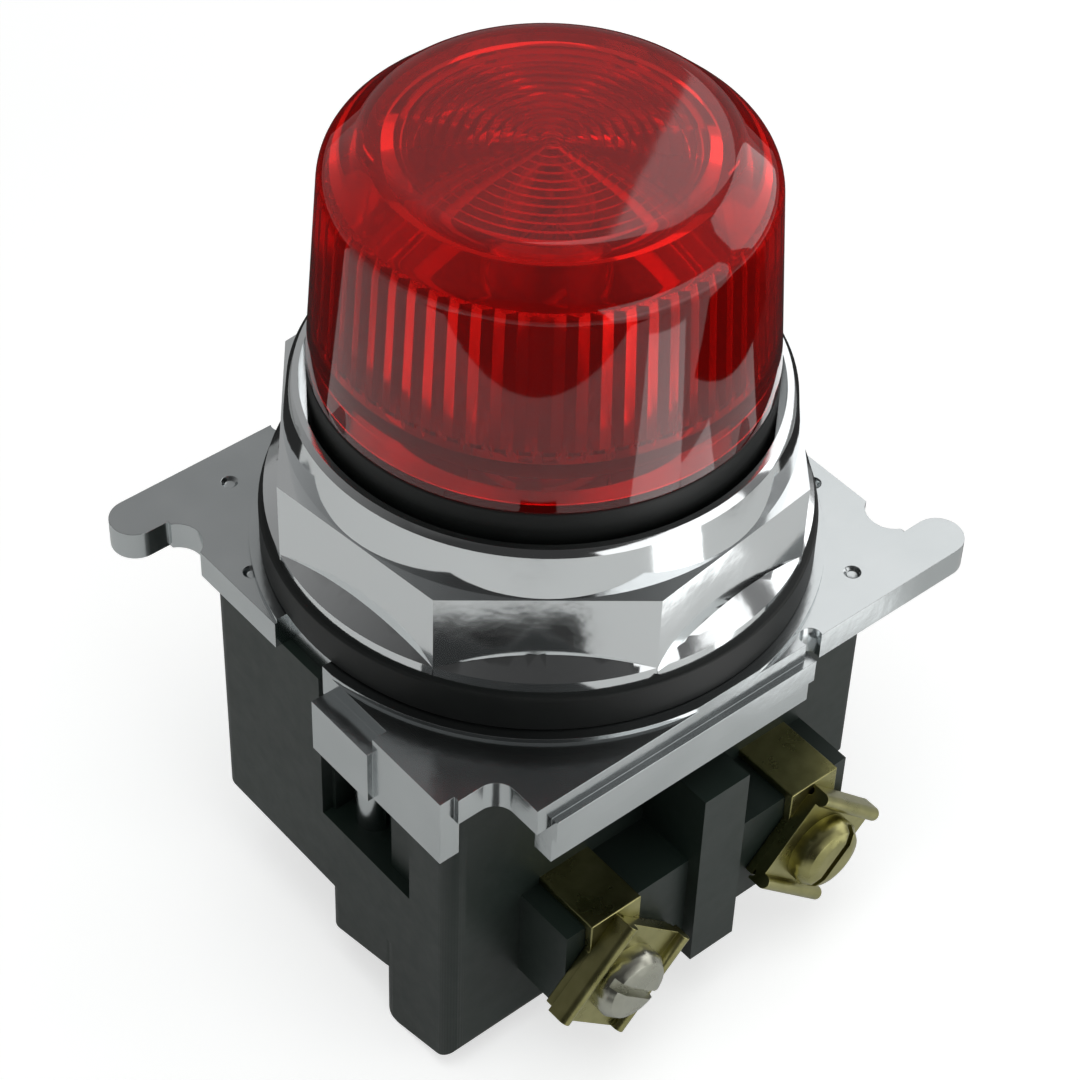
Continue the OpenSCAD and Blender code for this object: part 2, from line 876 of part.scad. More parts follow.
// Fillister screw that draws the light unit up to a mounting post
module mounting_screw(side) {
    head_h = 2.4;
    color([0.7, 0.72, 0.73])
        translate([side * post_x, side * post_y, screw_seat])
            difference() {
                union() {
                    translate([0, 0, -head_h])
                        cylinder(r = mount_head_r, h = head_h);
                    translate([0, 0, -0.1])
                        cylinder(r = mount_hole - play, h = mount_shank);
                }
                translate([-mount_head_r - 1, -0.4, -head_h - 1])
                    cube([2 * mount_head_r + 2, 0.8, 2]);
            }
}

module terminal_strip_1() { terminal_strip(-1); }
module terminal_strip_2() { terminal_strip(1); }
module saddle_clamp_1() { saddle_clamp(-1); }
module saddle_clamp_2() { saddle_clamp(1); }
module terminal_screw_1() { terminal_screw(-1); }
module terminal_screw_2() { terminal_screw(1); }
module mounting_screw_1() { mounting_screw(-1); }
module mounting_screw_2() { mounting_screw(1); }

lens();
lens_seal();
mounting_nut();
panel_gasket();
operator_base();
lamp_glass();
lamp_filament();
lamp_cap();
lamp_insulator();
lamp_tip();
socket_shell();
socket_plate();
contact_plunger();
contact_spring();
light_unit_housing();
transformer_core();
bobbin();
primary_coil();
secondary_coil();
terminal_strip_1();
terminal_strip_2();
saddle_clamp_1();
saddle_clamp_2();
terminal_screw_1();
terminal_screw_2();
mounting_screw_1();
mounting_screw_2();
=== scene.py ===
"""Dresses the panel pilot light: a fluted red lens, a chromed nut, a cast base and a moulded light unit."""
import json
import math

import bmesh
import bpy
from mathutils import Matrix, Vector

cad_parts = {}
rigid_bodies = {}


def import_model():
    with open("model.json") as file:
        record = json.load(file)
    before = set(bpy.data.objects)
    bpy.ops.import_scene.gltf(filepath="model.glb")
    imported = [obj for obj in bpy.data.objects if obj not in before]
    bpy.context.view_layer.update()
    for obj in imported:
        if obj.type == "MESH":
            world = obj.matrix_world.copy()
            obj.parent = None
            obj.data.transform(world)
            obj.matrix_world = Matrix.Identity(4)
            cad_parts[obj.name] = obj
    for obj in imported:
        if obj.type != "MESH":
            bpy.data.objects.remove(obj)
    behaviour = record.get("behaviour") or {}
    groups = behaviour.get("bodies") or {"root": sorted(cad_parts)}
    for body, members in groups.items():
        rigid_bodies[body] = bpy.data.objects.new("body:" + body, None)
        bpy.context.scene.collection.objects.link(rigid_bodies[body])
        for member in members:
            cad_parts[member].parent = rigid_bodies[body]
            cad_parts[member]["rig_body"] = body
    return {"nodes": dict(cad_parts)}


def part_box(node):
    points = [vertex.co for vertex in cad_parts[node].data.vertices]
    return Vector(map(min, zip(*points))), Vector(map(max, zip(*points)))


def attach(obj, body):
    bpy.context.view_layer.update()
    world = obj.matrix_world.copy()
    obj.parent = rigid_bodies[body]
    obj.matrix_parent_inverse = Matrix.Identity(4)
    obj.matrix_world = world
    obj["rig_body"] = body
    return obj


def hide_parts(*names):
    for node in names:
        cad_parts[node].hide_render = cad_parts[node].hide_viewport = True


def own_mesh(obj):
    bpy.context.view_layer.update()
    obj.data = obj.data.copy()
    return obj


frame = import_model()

bl_info = {
    "name": "Panel pilot light",
    "version": (1, 0, 0),
    "blender": (4, 5, 0),
    "location": "3D View > Sidebar > Pilot light",
    "description": "Builds the looks of a fluted panel pilot light round its solids",
    "category": "Object",
}

MM = 0.001
LENS_LOW, LENS_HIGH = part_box("lens")
SPRING_LOW, SPRING_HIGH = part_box("contact_spring")
LOWEST_Z = min(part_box(node)[0].z for node in ("light_unit_housing", "operator_base"))


# ---------- small helpers ----------


def linear(hex_colour, alpha=1.0):
    """An sRGB hex colour as the linear RGBA that a shader socket takes."""
    channels = [int(hex_colour[i:i + 2], 16) / 255 for i in (1, 3, 5)]
    bent = [c / 12.92 if c <= 0.04045 else ((c + 0.055) / 1.055) ** 2.4 for c in channels]
    return (*bent, alpha)


def add(tree, kind, inputs=None, **settings):
    """Adds a node to a tree, sets its settings, and fills or links its inputs."""
    made = tree.nodes.new(kind)
    for name, value in settings.items():
        setattr(made, name, value)
    for socket, value in (inputs or {}).items():
        if isinstance(value, bpy.types.NodeSocket):
            tree.links.new(value, made.inputs[socket])
        else:
            made.inputs[socket].default_value = value
    return made


def new_material(name):
    """An empty material and its node tree."""
    made = bpy.data.materials.new(name)
    made.use_nodes = True
    made.node_tree.nodes.clear()
    return made, made.node_tree


def grain(size_mm):
    """The scale of a noise on Object coordinates whose features are size_mm millimetres across."""
    return 1 / (size_mm * MM)


def new_piece(name, mesh, body, material):
    """Links a finished mesh as a piece that rides on a body and takes its finish from a slot."""
    piece = bpy.data.objects.new(name, mesh)
    bpy.context.scene.collection.objects.link(piece)
    mesh.materials.clear()
    mesh.materials.append(material)
    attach(piece, body)
    return piece


def smooth(mesh, sharp_deg):
    """Smooth shading with sharp edges where the faces turn by more than sharp_deg."""
    mesh.shade_smooth()
    mesh.set_sharp_from_angle(angle=math.radians(sharp_deg))


def rounded_copy(node, name, width_mm, material, sharp_deg=35, segments=2):
    """A merged copy of a solid with small rounded edges, which stands for it."""
    mesh = frame["nodes"][node].data.copy()
    work = bmesh.new()
    work.from_mesh(mesh)
    bmesh.ops.remove_doubles(work, verts=work.verts, dist=2e-6)
    bmesh.ops.dissolve_limit(work, angle_limit=math.radians(0.4), verts=work.verts, edges=work.edges)
    work.to_mesh(mesh)
    work.free()
    for spare in ("custom_normal", "sharp_face", "sharp_edge"):
        if spare in mesh.attributes:
            mesh.attributes.remove(mesh.attributes[spare])
    smooth(mesh, sharp_deg)
    piece = new_piece(name, mesh, frame["nodes"][node]["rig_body"], material)
    edge = piece.modifiers.new("rounded edges", "BEVEL")
    edge.width = width_mm * MM
    edge.segments = segments
    edge.limit_method = "ANGLE"
    edge.angle_limit = math.radians(sharp_deg)
    edge.miter_outer = "MITER_ARC"
    edge.harden_normals = False
    level = piece.modifiers.new("flat faces stay flat", "WEIGHTED_NORMAL")
    level.keep_sharp = False
    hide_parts(node)
    return piece


def finish_node(node, material):
    """Gives a CAD node its finish."""
    mesh = frame["nodes"][node].data
    mesh.materials.clear()
    mesh.materials.append(material)


# ---------- finishes ----------


def red_polycarbonate(sizes):
    """Injection-moulded transparent polycarbonate: clear deep red, polished, with a faint flow ripple.
    The tool marks in the flutes are too fine to show, so they are drawn as a haze there."""
    made, tree = new_material("red moulded polycarbonate")
    place = add(tree, "ShaderNodeTexCoord").outputs["Object"]
    ripple = add(tree, "ShaderNodeTexNoise", {"Vector": place, "Scale": grain(4.5), "Detail": 2.0})
    bump = add(tree, "ShaderNodeBump", {
        "Strength": 0.03, "Distance": 0.2 * MM, "Height": ripple.outputs["Fac"],
    })
    fluted = add(tree, "ShaderNodeAttribute", attribute_name="flute")
    haze = add(tree, "ShaderNodeMapRange", {"Value": fluted.outputs["Fac"], "To Min": 0.04, "To Max": 0.16})
    glass = add(tree, "ShaderNodeBsdfPrincipled", {
        "Base Color": linear(sizes.lens_colour_hex),
        "Roughness": haze.outputs["Result"],
        "IOR": 1.585,
        "Transmission Weight": 0.92,
        "Normal": bump.outputs["Normal"],
    })
    through = add(tree, "ShaderNodeBsdfTransparent", {"Color": linear("#E8281E")})
    path = add(tree, "ShaderNodeLightPath")
    mix = add(tree, "ShaderNodeMixShader", {
        0: path.outputs["Is Shadow Ray"], 1: glass.outputs["BSDF"], 2: through.outputs["BSDF"],
    })
    add(tree, "ShaderNodeOutputMaterial", {"Surface": mix.outputs["Shader"]})
    return made


def chrome_plate():
    """Bright chromium over polished nickel: a mirror with the softest orange peel, about 4 mm across."""
    made, tree = new_material("bright chromium plate")
    place = add(tree, "ShaderNodeTexCoord").outputs["Object"]
    peel = add(tree, "ShaderNodeTexNoise", {"Vector": place, "Scale": grain(3.8), "Detail": 3.0})
    bump = add(tree, "ShaderNodeBump", {
        "Strength": 0.05, "Distance": 0.4 * MM, "Height": peel.outputs["Fac"],
    })
    haze = add(tree, "ShaderNodeMapRange", {"Value": peel.outputs["Fac"], "To Min": 0.05, "To Max": 0.13})
    metal = add(tree, "ShaderNodeBsdfPrincipled", {
        "Base Color": linear("#EEF1F2"), "Metallic": 1.0,
        "Roughness": haze.outputs["Result"], "Normal": bump.outputs["Normal"],
    })
    add(tree, "ShaderNodeOutputMaterial", {"Surface": metal.outputs["BSDF"]})
    return made


def die_cast_zinc():
    """Barrel-finished zinc die casting under satin chrome: soft mirror, fine grain, small pits."""
    made, tree = new_material("satin plated zinc casting")
    place = add(tree, "ShaderNodeTexCoord").outputs["Object"]
    # The cast grain is about 0.2 mm, too fine to show, so it is drawn at 1.1 mm.
    pits = add(tree, "ShaderNodeTexNoise", {"Vector": place, "Scale": grain(1.1), "Detail": 4.0})
    cloud = add(tree, "ShaderNodeTexNoise", {"Vector": place, "Scale": grain(8.0), "Detail": 2.0})
    rough = add(tree, "ShaderNodeMapRange", {"Value": cloud.outputs["Fac"], "To Min": 0.13, "To Max": 0.24})
    bump = add(tree, "ShaderNodeBump", {
        "Strength": 0.16, "Distance": 0.1 * MM, "Height": pits.outputs["Fac"],
    })
    tone = add(tree, "ShaderNodeMix", {
        0: cloud.outputs["Fac"], 6: linear("#BCC1C2"), 7: linear("#D6DADB"),
    }, data_type="RGBA")
    metal = add(tree, "ShaderNodeBsdfPrincipled", {
        "Base Color": tone.outputs[2], "Metallic": 1.0,
        "Roughness": rough.outputs["Result"], "Normal": bump.outputs["Normal"],
    })
    add(tree, "ShaderNodeOutputMaterial", {"Surface": metal.outputs["BSDF"]})
    return made


def nitrile_rubber():
    """Moulded black nitrile rubber: matt and near black, with a dusty bloom in patches of 2 to 3 mm."""
    made, tree = new_material("black nitrile rubber")
    place = add(tree, "ShaderNodeTexCoord").outputs["Object"]
    bloom = add(tree, "ShaderNodeTexNoise", {"Vector": place, "Scale": grain(2.5), "Detail": 5.0})
    tone = add(tree, "ShaderNodeMix", {
        0: bloom.outputs["Fac"], 6: linear("#0A0C0B"), 7: linear("#161918"),
    }, data_type="RGBA")
    bump = add(tree, "ShaderNodeBump", {
        "Strength": 0.2, "Distance": 0.1 * MM, "Height": bloom.outputs["Fac"],
    })
    rubber = add(tree, "ShaderNodeBsdfPrincipled", {
        "Base Color": tone.outputs[2], "Roughness": 0.55, "Normal": bump.outputs["Normal"],
    })
    add(tree, "ShaderNodeOutputMaterial", {"Surface": rubber.outputs["BSDF"]})
    return made


def phenolic_moulding():
    """Compression-moulded phenolic: near black with a green cast, satin, with a faint filler grain."""
    made, tree = new_material("black phenolic moulding")
    place = add(tree, "ShaderNodeTexCoord").outputs["Object"]
    # The wood-flour filler is about 0.1 mm, too fine to show, so it is drawn at 1.4 mm.
    filler = add(tree, "ShaderNodeTexNoise", {"Vector": place, "Scale": grain(1.4), "Detail": 6.0})
    cloud = add(tree, "ShaderNodeTexNoise", {"Vector": place, "Scale": grain(16.0), "Detail": 2.0})
    tone = add(tree, "ShaderNodeMix", {
        0: cloud.outputs["Fac"], 6: linear("#141D19"), 7: linear("#222D28"),
    }, data_type="RGBA")
    rough = add(tree, "ShaderNodeMapRange", {"Value": filler.outputs["Fac"], "To Min": 0.36, "To Max": 0.52})
    bump = add(tree, "ShaderNodeBump", {
        "Strength": 0.12, "Distance": 0.1 * MM, "Height": filler.outputs["Fac"],
    })
    resin = add(tree, "ShaderNodeBsdfPrincipled", {
        "Base Color": tone.outputs[2], "Roughness": rough.outputs["Result"], "Normal": bump.outputs["Normal"],
    })
    add(tree, "ShaderNodeOutputMaterial", {"Surface": resin.outputs["BSDF"]})
    return made


def metal_finish(name, dark, light, low, high, cloud_mm):
    """A plain metal with two close tones and a roughness that wanders between low and high over cloud_mm."""
    made, tree = new_material(name)
    place = add(tree, "ShaderNodeTexCoord").outputs["Object"]
    cloud = add(tree, "ShaderNodeTexNoise", {"Vector": place, "Scale": grain(cloud_mm), "Detail": 4.0})
    tone = add(tree, "ShaderNodeMix", {
        0: cloud.outputs["Fac"], 6: linear(dark), 7: linear(light),
    }, data_type="RGBA")
    rough = add(tree, "ShaderNodeMapRange", {"Value": cloud.outputs["Fac"], "To Min": low, "To Max": high})
    bump = add(tree, "ShaderNodeBump", {
        "Strength": 0.15, "Distance": 0.1 * MM, "Height": cloud.outputs["Fac"],
    })
    metal = add(tree, "ShaderNodeBsdfPrincipled", {
        "Base Color": tone.outputs[2], "Metallic": 1.0,
        "Roughness": rough.outputs["Result"], "Normal": bump.outputs["Normal"],
    })
    add(tree, "ShaderNodeOutputMaterial", {"Surface": metal.outputs["BSDF"]})
    return made


def clear_glass():
    """Blown soda-lime glass of the bulb: thin, clear, faintly green."""
    made, tree = new_material("clear blown glass")
    place = add(tree, "ShaderNodeTexCoord").outputs["Object"]
    wave = add(tree, "ShaderNodeTexNoise", {"Vector": place, "Scale": grain(11.0)})
    bump = add(tree, "ShaderNodeBump", {
        "Strength": 0.05, "Distance": 0.3 * MM, "Height": wave.outputs["Fac"],
    })
    glass = add(tree, "ShaderNodeBsdfPrincipled", {
        "Base Color": linear("#F4FAF7"), "Roughness": 0.02, "IOR": 1.52,
        "Transmission Weight": 1.0, "Normal": bump.outputs["Normal"],
    })
    add(tree, "ShaderNodeOutputMaterial", {"Surface": glass.outputs["BSDF"]})
    return made


# ---------- sizes that a user may change ----------


class LensSizes(bpy.types.PropertyGroup):
    """Sizes and colour of the lens, which its operator reads"""
    rim_d: bpy.props.FloatProperty(
        name="Rim diameter", description="Outer diameter of the lower rim", default=35.4 * MM, unit="LENGTH")
    edge_d: bpy.props.FloatProperty(
        name="Edge diameter", description="Outer diameter above the flutes", default=33.0 * MM, unit="LENGTH")
    flat_d: bpy.props.FloatProperty(
        name="Flat diameter", description="Diameter of the flat top", default=26.1 * MM, unit="LENGTH")
    wall: bpy.props.FloatProperty(
        name="Wall", description="Thickness of the moulding", default=1.8 * MM, unit="LENGTH")
    flutes: bpy.props.IntProperty(
        name="Flutes", description="Number of flutes inside the wall", default=60)
    flute_depth: bpy.props.FloatProperty(
        name="Flute depth", description="Depth of a flute", default=0.36 * MM, unit="LENGTH")
    rings: bpy.props.IntProperty(
        name="Rings", description="Number of rings under the flat top", default=13)
    ring_pitch: bpy.props.FloatProperty(
        name="Ring pitch", description="Distance between two rings", default=0.92 * MM, unit="LENGTH")
    ring_depth: bpy.props.FloatProperty(
        name="Ring depth", description="Depth of a ring's step", default=0.5 * MM, unit="LENGTH")
    lens_colour_hex: bpy.props.StringProperty(
        name="Lens colour", description="Tint of the lens as an sRGB hex value", default="#EC1A15")


LENS_RIM_Z = 14.75 * MM      # underside of the lower rim
LENS_EDGE_Z = 31.75 * MM     # top of the fluted wall
FLUTE_BOT_Z = 19.65 * MM
FLUTE_TOP_Z = 30.85 * MM
FLUTE_START = 0.02 * MM      # the flutes start square under the bevel
FLUTE_RUN_OUT = 0.5 * MM     # and run out in a short slope at their foot
FLUTE_ROWS = 6
FLUTE_FACES = 8              # faces round the lens for each flute
PLAIN_BAND = 1.2 * MM        # plain wall under the flutes
NECK_R = 13.85 * MM
NECK_WALL = 1.55 * MM
NECK_RISE = 1.6 * MM
RING_SLOPE = 0.96            # share of a ring's pitch that slopes, before its step
CROWN_REACH = 0.6 * MM       # how far the flat ceiling reaches past the middle of the wall
RIM_ROUND = 0.25 * MM
EDGE_CUT = 1.1 * MM
FLAT_CUT = 1.0 * MM


def lens_profile(s):
    """The section of the lens as (radius, height, flute weight), from under the top round to its outside.
    The weight is 1 where the flutes are pressed in at full depth."""
    top = LENS_HIGH.z
    low = LENS_LOW.z
    rim_r, edge_r, flat_r = s.rim_d / 2, s.edge_d / 2, s.flat_d / 2

    def wall_r(z):
        return rim_r - (rim_r - edge_r) * (z - LENS_RIM_Z) / (LENS_EDGE_Z - LENS_RIM_Z)

    points = []
    ceiling = top - s.wall
    for i in range(s.rings):
        points.append((i * s.ring_pitch, ceiling, 0.0))
        points.append(((i + RING_SLOPE) * s.ring_pitch, ceiling - s.ring_depth, 0.0))
    points.append((flat_r - s.wall / 2 + CROWN_REACH, ceiling, 0.0))
    inner_top = wall_r(FLUTE_TOP_Z) - s.wall
    points.append((inner_top, FLUTE_TOP_Z + FLUTE_START, 0.0))
    inner_low = wall_r(FLUTE_BOT_Z) - s.wall
    for i in range(FLUTE_ROWS + 1):
        share = i / FLUTE_ROWS
        points.append((
            inner_top + (inner_low - inner_top) * share,
            FLUTE_TOP_Z + (FLUTE_BOT_Z - FLUTE_TOP_Z) * share, 1.0,
        ))
    points.append((inner_low, FLUTE_BOT_Z - FLUTE_RUN_OUT, 0.0))
    points.append((inner_low, FLUTE_BOT_Z - PLAIN_BAND, 0.0))
    points.append((NECK_R, LENS_RIM_Z + NECK_RISE, 0.0))
    points.append((NECK_R, low, 0.0))
    points.append((NECK_R + NECK_WALL, low, 0.0))
    points.append((NECK_R + NECK_WALL, LENS_RIM_Z, 0.0))
    points.extend(arc((rim_r - RIM_ROUND, LENS_RIM_Z + RIM_ROUND), RIM_ROUND, -90, 0, 4))
    points.extend(soft_corner((rim_r, LENS_RIM_Z), (edge_r, LENS_EDGE_Z), (flat_r, top), EDGE_CUT, 8))
    points.extend(soft_corner((edge_r, LENS_EDGE_Z), (flat_r, top), (0, top), FLAT_CUT, 8))
    points.append((0.0, top, 0.0))
    return points


def arc(centre, radius, start_deg, end_deg, steps):
    """Points along an arc of the section, with no flutes."""
    made = []
    for i in range(steps + 1):
        turn = math.radians(start_deg + (end_deg - start_deg) * i / steps)
        made.append((centre[0] + radius * math.cos(turn), centre[1] + radius * math.sin(turn), 0.0))
    return made


def soft_corner(before, corner, after, cut, steps):
    """A rounded corner of the section: a quadratic curve that starts and ends cut away from the corner."""
    p = Vector(corner)
    a = p + (Vector(before) - p).normalized() * cut
    b = p + (Vector(after) - p).normalized() * cut
    made = []
    for i in range(steps + 1):
        t = i / steps
        q = a * (1 - t) ** 2 + p * (2 * t * (1 - t)) + b * t ** 2
        made.append((q.x, q.y, 0.0))
    return made


def lathe(name, section, turns):
    """A closed turned solid from (radius, height, weight) points. The weight is kept for the flutes."""
    verts, faces, weights, rows = [], [], [], []
    for radius, height, weight in section:
        if radius < 1e-7:
            rows.append([len(verts)] * turns)
            verts.append((0.0, 0.0, height))
            weights.append(weight)
            continue
        row = []
        for i in range(turns):
            turn = 2 * math.pi * i / turns
            row.append(len(verts))
            verts.append((radius * math.cos(turn), radius * math.sin(turn), height))
            weights.append(weight)
        rows.append(row)
    for low, high in zip(rows, rows[1:]):
        for i in range(turns):
            j = (i + 1) % turns
            corner = [low[i], low[j], high[j], high[i]]
            faces.append(tuple(dict.fromkeys(corner)))
    mesh = bpy.data.meshes.new(name)
    mesh.from_pydata(verts, [], faces)
    mesh.attributes.new("flute", "FLOAT", "POINT").data.foreach_set("value", weights)
    work = bmesh.new()
    work.from_mesh(mesh)
    bmesh.ops.recalc_face_normals(work, faces=work.faces)
    work.to_mesh(mesh)
    work.free()
    return mesh


def new_shape_tree(name, sizes):
    """A geometry tree with named size inputs and a finish, and its input node."""
    tree = bpy.data.node_groups.new(name, "GeometryNodeTree")
    face = tree.interface
    face.new_socket("Geometry", in_out="INPUT", socket_type="NodeSocketGeometry")
    for size, kind in sizes:
        face.new_socket(size, in_out="INPUT", socket_type=kind)
    face.new_socket("Finish", in_out="INPUT", socket_type="NodeSocketMaterial")
    face.new_socket("Geometry", in_out="OUTPUT", socket_type="NodeSocketGeometry")
    return tree, add(tree, "NodeGroupInput")


def end_shape_tree(tree, shape, given):
    """Ends a geometry tree: its shape is made real and takes its finish."""
    real = add(tree, "GeometryNodeRealizeInstances", {"Geometry": shape})
    coat = add(tree, "GeometryNodeSetMaterial", {
        "Geometry": real.outputs[0], "Material": given.outputs["Finish"],
    })
    add(tree, "NodeGroupOutput", {0: coat.outputs[0]})


def flute_tree():
    """Geometry Nodes that press V flutes into the points by their flute weight."""
    tree, given = new_shape_tree("lens flutes", (("Flutes", "NodeSocketInt"), ("Depth", "NodeSocketFloat")))
    place = add(tree, "GeometryNodeInputPosition")
    split = add(tree, "ShaderNodeSeparateXYZ", {0: place.outputs[0]})
    turn = add(tree, "ShaderNodeMath", {0: split.outputs[1], 1: split.outputs[0]}, operation="ARCTAN2")
    share = add(tree, "ShaderNodeMath", {0: turn.outputs[0], 1: 2 * math.pi}, operation="DIVIDE")
    count = add(tree, "ShaderNodeMath", {
        0: share.outputs[0], 1: given.outputs["Flutes"],
    }, operation="MULTIPLY")
    wave = add(tree, "ShaderNodeMath", {0: count.outputs[0], 1: 0.5}, operation="PINGPONG")
    weight = add(tree, "GeometryNodeInputNamedAttribute", {0: "flute"}, data_type="FLOAT")
    depth = add(tree, "ShaderNodeMath", {
        0: wave.outputs[0], 1: given.outputs["Depth"],
    }, operation="MULTIPLY")
    deep = add(tree, "ShaderNodeMath", {0: depth.outputs[0], 1: 2.0}, operation="MULTIPLY")
    held = add(tree, "ShaderNodeMath", {0: deep.outputs[0], 1: weight.outputs[0]}, operation="MULTIPLY")
    flat = add(tree, "ShaderNodeCombineXYZ", {0: split.outputs[0], 1: split.outputs[1]})
    outward = add(tree, "ShaderNodeVectorMath", {0: flat.outputs[0]}, operation="NORMALIZE")
    shift = add(tree, "ShaderNodeVectorMath", {
        0: outward.outputs[0], "Scale": held.outputs[0],
    }, operation="SCALE")
    moved = add(tree, "GeometryNodeSetPosition", {
        "Geometry": given.outputs["Geometry"], "Offset": shift.outputs[0],
    })
    end_shape_tree(tree, moved.outputs[0], given)
    return tree


def through_nodes(mesh, tree, values, name):
    """Runs a mesh through a geometry tree and returns the plain result."""
    carrier = bpy.data.objects.new(name + "_carrier", mesh)
    bpy.context.scene.collection.objects.link(carrier)
    modifier = carrier.modifiers.new("nodes", "NODES")
    modifier.node_group = tree
    for item in tree.interface.items_tree:
        if item.in_out == "INPUT" and item.name in values:
            modifier[item.identifier] = values[item.name]
    view = bpy.context.evaluated_depsgraph_get()
    result = bpy.data.meshes.new_from_object(carrier.evaluated_get(view))
    bpy.data.objects.remove(carrier)
    result.name = name
    return result


def spring_tree():
    """Geometry Nodes that wind a closed round wire into a coil spring."""
    sizes = ("Turns", "Coil Radius", "Wire Radius", "Height", "Foot")
    tree, given = new_shape_tree("coil spring", [(size, "NodeSocketFloat") for size in sizes])
    coil = add(tree, "GeometryNodeCurveSpiral", {
        "Resolution": 28, "Rotations": given.outputs["Turns"], "Height": given.outputs["Height"],
        "Start Radius": given.outputs["Coil Radius"], "End Radius": given.outputs["Coil Radius"],
    })
    foot = add(tree, "ShaderNodeCombineXYZ", {2: given.outputs["Foot"]})
    placed = add(tree, "GeometryNodeSetPosition", {
        "Geometry": coil.outputs[0], "Offset": foot.outputs[0],
    })
    round_wire = add(tree, "GeometryNodeCurvePrimitiveCircle", {
        "Resolution": 10, "Radius": given.outputs["Wire Radius"],
    })
    wound = add(tree, "GeometryNodeCurveToMesh", {
        "Curve": placed.outputs[0], "Profile Curve": round_wire.outputs[0], "Fill Caps": True,
    })
    end_shape_tree(tree, wound.outputs[0], given)
    return tree


class PILOT_OT_lens(bpy.types.Operator):
    """Moulds the fluted red lens with its ringed top"""
    bl_idname = "pilot.lens"
    bl_label = "Lens"

    def execute(self, context):
        s = context.scene.pilot_lens
        finish = red_polycarbonate(s)
        mesh = lathe("lens_blank", lens_profile(s), s.flutes * FLUTE_FACES)
        mesh = through_nodes(mesh, flute_tree(), {
            "Flutes": s.flutes, "Depth": s.flute_depth, "Finish": finish,
        }, "red_lens")
        smooth(mesh, 18)
        piece = new_piece("red_lens", mesh, "lens", finish)
        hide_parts("lens")
        return {"FINISHED"}


class PILOT_OT_nut(bpy.types.Operator):
    """Finishes the octagonal mounting nut"""
    bl_idname = "pilot.nut"
    bl_label = "Mounting nut"

    def execute(self, context):
        rounded_copy("mounting_nut", "chromed_nut", 0.18, chrome_plate(), sharp_deg=12)
        return {"FINISHED"}


class PILOT_OT_base(bpy.types.Operator):
    """Finishes the cast base with its gasket and lens seal"""
    bl_idname = "pilot.base"
    bl_label = "Operator base"

    def execute(self, context):
        rounded_copy("operator_base", "cast_base", 0.15, die_cast_zinc())
        rubber = nitrile_rubber()
        rounded_copy("panel_gasket", "gasket", 0.25, rubber, segments=3)
        rounded_copy("lens_seal", "seal", 0.2, rubber, segments=3)
        return {"FINISHED"}


SPRING_COIL_R = 2.25 * MM
SPRING_TURNS = 5.0


class PILOT_OT_lamp(bpy.types.Operator):
    """Finishes the lamp and its socket, and winds the spring under its contact"""
    bl_idname = "pilot.lamp"
    bl_label = "Lamp and socket"

    def execute(self, context):
        brass = metal_finish("drawn brass", "#A98A45", "#C6A85C", 0.22, 0.36, 3.3)
        finish_node("lamp_glass", clear_glass())
        wires = metal_finish("tungsten and nickel wire", "#6E7075", "#8C8F94", 0.3, 0.45, 2.5)
        finish_node("lamp_filament", wires)
        finish_node("lamp_cap", brass)
        finish_node("lamp_tip", metal_finish("soft solder", "#9A9DA0", "#B7BABC", 0.35, 0.5, 2.0))
        finish_node("socket_shell", brass)
        finish_node("contact_plunger", brass)
        bronze = metal_finish("spring bronze wire", "#8E6B3A", "#A9834C", 0.28, 0.4, 3.3)
        wire = (SPRING_HIGH.x - SPRING_LOW.x) / 2 - SPRING_COIL_R
        length = SPRING_HIGH.z - SPRING_LOW.z
        blank = bpy.data.meshes.new("spring_blank")
        mesh = through_nodes(blank, spring_tree(), {
            "Turns": SPRING_TURNS, "Coil Radius": SPRING_COIL_R, "Wire Radius": wire,
            "Height": length - 2 * wire, "Foot": SPRING_LOW.z + wire, "Finish": bronze,
        }, "plunger_spring")
        smooth(mesh, 40)
        body = frame["nodes"]["contact_spring"]["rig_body"]
        spring = new_piece("plunger_spring", mesh, body, bronze)
        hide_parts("contact_spring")
        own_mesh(spring)
        resin = phenolic_moulding()
        finish_node("socket_plate", resin)
        finish_node("lamp_insulator", resin)
        return {"FINISHED"}


class PILOT_OT_light_unit(bpy.types.Operator):
    """Finishes the moulded housing and the transformer in it"""
    bl_idname = "pilot.light_unit"
    bl_label = "Light unit"

    def execute(self, context):
        rounded_copy("light_unit_housing", "housing", 0.3, phenolic_moulding(), segments=3)
        laminations = metal_finish("varnished steel laminations", "#4A4A48", "#63625E", 0.4, 0.6, 3.3)
        finish_node("transformer_core", laminations)
        finish_node("bobbin", phenolic_moulding())
        copper = metal_finish("enamelled copper wire", "#8A3B1E", "#B0552E", 0.25, 0.4, 2.5)
        finish_node("primary_coil", copper)
        finish_node("secondary_coil", copper)
        return {"FINISHED"}


class PILOT_OT_terminals(bpy.types.Operator):
    """Finishes the two screw terminals and the mounting screws"""
    bl_idname = "pilot.terminals"
    bl_label = "Terminals and screws"

    def execute(self, context):
        brass = metal_finish("yellow passivated brass", "#85824E", "#C4BF88", 0.2, 0.4, 2.0)
        steel = metal_finish("zinc plated steel", "#A6A698", "#CFCFC2", 0.2, 0.38, 2.0)
        for n in (1, 2):
            rounded_copy(f"terminal_strip_{n}", f"strip_{n}", 0.12, brass)
            rounded_copy(f"saddle_clamp_{n}", f"clamp_{n}", 0.15, brass)
            head = brass if n == 2 else steel
            rounded_copy(f"terminal_screw_{n}", f"terminal_screw_head_{n}", 0.12, head)
            rounded_copy(f"mounting_screw_{n}", f"fixing_screw_{n}", 0.1, steel)
        return {"FINISHED"}


# ---------- stage ----------

